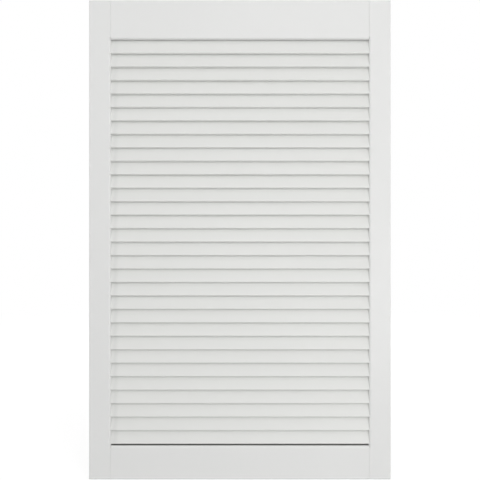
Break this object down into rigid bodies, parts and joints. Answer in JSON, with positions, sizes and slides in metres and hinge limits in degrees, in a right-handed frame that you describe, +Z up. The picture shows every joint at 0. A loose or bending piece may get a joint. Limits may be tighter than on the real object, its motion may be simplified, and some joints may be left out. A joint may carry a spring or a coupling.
{
  "type": "louvred cupboard door",
  "caption": "White painted louvred cupboard door: wide stiles and rails around a closed row of fixed slanted slats seated in slots in the stiles.",
  "frame": {"origin": "middle of the door's foot, halfway through its thickness", "axes": "+X across the door to the right as seen from the face side, +Y through it from the face to the back, +Z up"},
  "size_m": [0.594, 0.021, 0.9435],
  "materials": {
    "frame_paint": "smooth satin white paint on softwood",
    "slat_paint": "smooth satin white paint on softwood",
    "dowel_wood": "bare turned beech"
  },
  "bodies": {
    "root": {"left_stile": "frame_paint", "right_stile": "frame_paint", "top_rail": "frame_paint", "bottom_rail": "frame_paint", "top_left_upper_dowel": "dowel_wood", "top_left_lower_dowel": "dowel_wood", "top_right_upper_dowel": "dowel_wood", "top_right_lower_dowel": "dowel_wood", "bottom_left_upper_dowel": "dowel_wood", "bottom_left_lower_dowel": "dowel_wood", "bottom_right_upper_dowel": "dowel_wood", "bottom_right_lower_dowel": "dowel_wood", "slat_01": "slat_paint", "slat_02": "slat_paint", "slat_03": "slat_paint", "slat_04": "slat_paint", "slat_05": "slat_paint", "slat_06": "slat_paint", "slat_07": "slat_paint", "slat_08": "slat_paint", "slat_09": "slat_paint", "slat_10": "slat_paint", "slat_11": "slat_paint", "slat_12": "slat_paint", "slat_13": "slat_paint", "slat_14": "slat_paint", "slat_15": "slat_paint", "slat_16": "slat_paint", "slat_17": "slat_paint", "slat_18": "slat_paint", "slat_19": "slat_paint", "slat_20": "slat_paint", "slat_21": "slat_paint", "slat_22": "slat_paint", "slat_23": "slat_paint", "slat_24": "slat_paint", "slat_25": "slat_paint", "slat_26": "slat_paint", "slat_27": "slat_paint", "slat_28": "slat_paint", "slat_29": "slat_paint", "slat_30": "slat_paint"}
  },
  "joints": []
}
